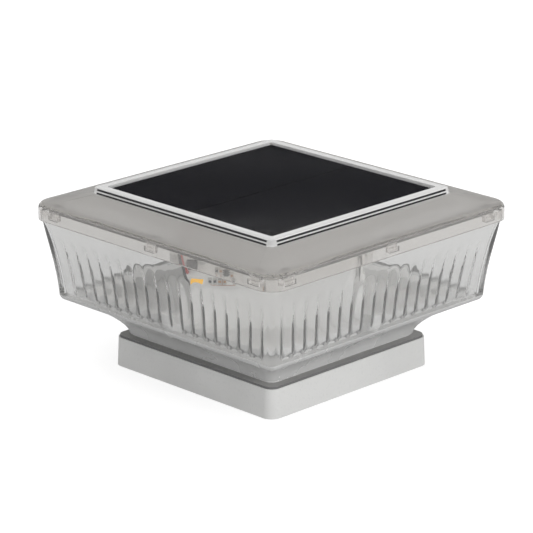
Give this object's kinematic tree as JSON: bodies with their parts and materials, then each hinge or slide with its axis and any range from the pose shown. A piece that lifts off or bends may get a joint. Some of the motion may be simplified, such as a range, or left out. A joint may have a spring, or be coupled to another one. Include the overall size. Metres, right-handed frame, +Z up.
{
  "type": "solar pillar light",
  "caption": "Square solar light for a gate pillar: a clear reeded bowl under a frosted cover with a solar panel, lifting off a screw-down plinth, with a push switch underneath.",
  "frame": {"origin": "middle of the plinth's underside, on the pillar's top", "axes": "+Z up; X and Y along the sides of the square; the main board faces the corner between +X and -Y, which is nearest the camera in the picture"},
  "size_m": [0.15, 0.15, 0.0825],
  "materials": {
    "grey_moulding": "fine satin moulding",
    "dark_rubber": "matt",
    "clear_plastic": "clear and polished, reeded inside",
    "frosted_plastic": "clear with a fine frosted face",
    "clear_silicone": "satin, milky",
    "black_sheet": "matt",
    "cell_black": "smooth, near black",
    "clear_laminate": "clear and polished",
    "white_moulding": "satin white",
    "screw_steel": "zinc plated",
    "board_white": "white solder mask",
    "phosphor_yellow": "smooth gel",
    "component_black": "moulded, matt",
    "resistor_dark": "glazed",
    "capacitor_tan": "smooth",
    "cell_can": "plain can in a thin sleeve",
    "contact_nickel": "nickel plated",
    "button_red": "moulded, satin",
    "lead_black": "satin insulation",
    "lead_red": "satin insulation"
  },
  "bodies": {
    "base": {"plinth": "grey_moulding", "plinth_seal": "dark_rubber"},
    "head": {"bowl": "clear_plastic", "tray": "grey_moulding", "tray_seal": "dark_rubber", "tray_screws": "screw_steel", "cover": "frosted_plastic", "cover_seal": "clear_silicone", "panel_sealant": "clear_silicone", "back_sheet": "black_sheet", "solar_cells": "cell_black", "laminate": "clear_laminate", "light_box": "white_moulding", "box_screws": "screw_steel", "main_board": "board_white", "led_boards": "board_white", "board_screws": "screw_steel", "led_packages": "white_moulding", "led_phosphors": "phosphor_yellow", "chip": "component_black", "resistors": "resistor_dark", "capacitors": "capacitor_tan", "connector": "component_black", "holder": "component_black", "cell": "cell_can", "cell_button": "contact_nickel", "contacts": "contact_nickel", "holder_screws": "screw_steel", "switch_body": "component_black", "switch_nut": "contact_nickel", "black_lead": "lead_black", "red_lead": "lead_red"},
    "button": {"power_button": "button_red"}
  },
  "joints": [
    {"name": "head_lift", "type": "slide", "parent": "base", "child": "head", "axis": [0, 0, 1], "range_m": [0, 0.04]},
    {"name": "button_press", "type": "slide", "parent": "head", "child": "button", "axis": [0, 0, 1], "range_m": [0, 0.0015], "stiffness_N_per_m": 300, "springref_m": -0.001}
  ]
}
